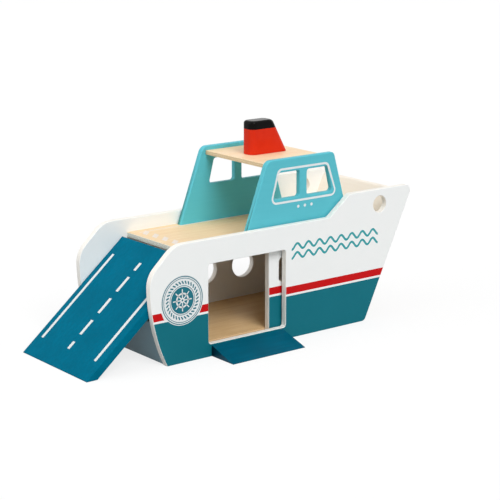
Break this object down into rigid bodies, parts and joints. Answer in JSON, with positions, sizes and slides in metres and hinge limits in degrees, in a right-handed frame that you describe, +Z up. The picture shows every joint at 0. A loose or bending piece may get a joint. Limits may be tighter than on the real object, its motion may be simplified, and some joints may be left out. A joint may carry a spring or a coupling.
{
  "type": "toy boat",
  "caption": "Wooden toy car ferry with a hold behind a sliding side door, an upper car deck, a bridge with a funnel, a stern ramp that swings up and a loose side wedge.",
  "frame": {"origin": "middle of the underside of the whole set, ramp and wedge included", "axes": "+X forward along the keel, +Y to port, +Z up"},
  "size_m": [0.3924, 0.162, 0.2089],
  "materials": {
    "hull_paint": "satin paint on plywood, white above a red stripe and petrol blue below",
    "deck_plywood": "clear matt varnish on birch plywood",
    "board_paint": "satin white paint on plywood",
    "bridge_paint": "satin turquoise paint on plywood",
    "funnel_paint": "gloss paint on beech, red with a black top",
    "ramp_paint": "satin petrol blue paint on solid wood with pale printed lines",
    "beech": "bare beech",
    "plated_steel": "zinc plated"
  },
  "bodies": {
    "hull": {"starboard_side_panel": "hull_paint", "port_side_panel": "hull_paint", "hold_floor": "deck_plywood", "upper_deck": "deck_plywood", "transom": "board_paint", "transom_dowels": "beech", "bow_wall": "board_paint", "bow_wall_dowels": "beech", "starboard_bridge_panel": "bridge_paint", "port_bridge_panel": "bridge_paint", "bridge_screws": "plated_steel", "bridge_roof": "deck_plywood", "funnel": "funnel_paint", "funnel_screws": "plated_steel"},
    "ramp": {"stern_ramp": "ramp_paint", "ramp_pins": "plated_steel"},
    "door": {"side_door": "hull_paint"},
    "wedge": {"side_wedge": "ramp_paint"}
  },
  "joints": [
    {"name": "ramp_swing", "type": "hinge", "parent": "hull", "child": "ramp", "pos_m": [-0.08372, 0.017, 0.09005], "axis": [0, 1, 0], "range_deg": [0, 148]},
    {"name": "door_slide", "type": "slide", "parent": "hull", "child": "door", "axis": [1, 0, 0], "range_m": [-0.0847, 0.0038]},
    {"name": "wedge_away", "type": "slide", "parent": "hull", "child": "wedge", "axis": [0, -1, 0], "range_m": [0, 0.06]}
  ]
}
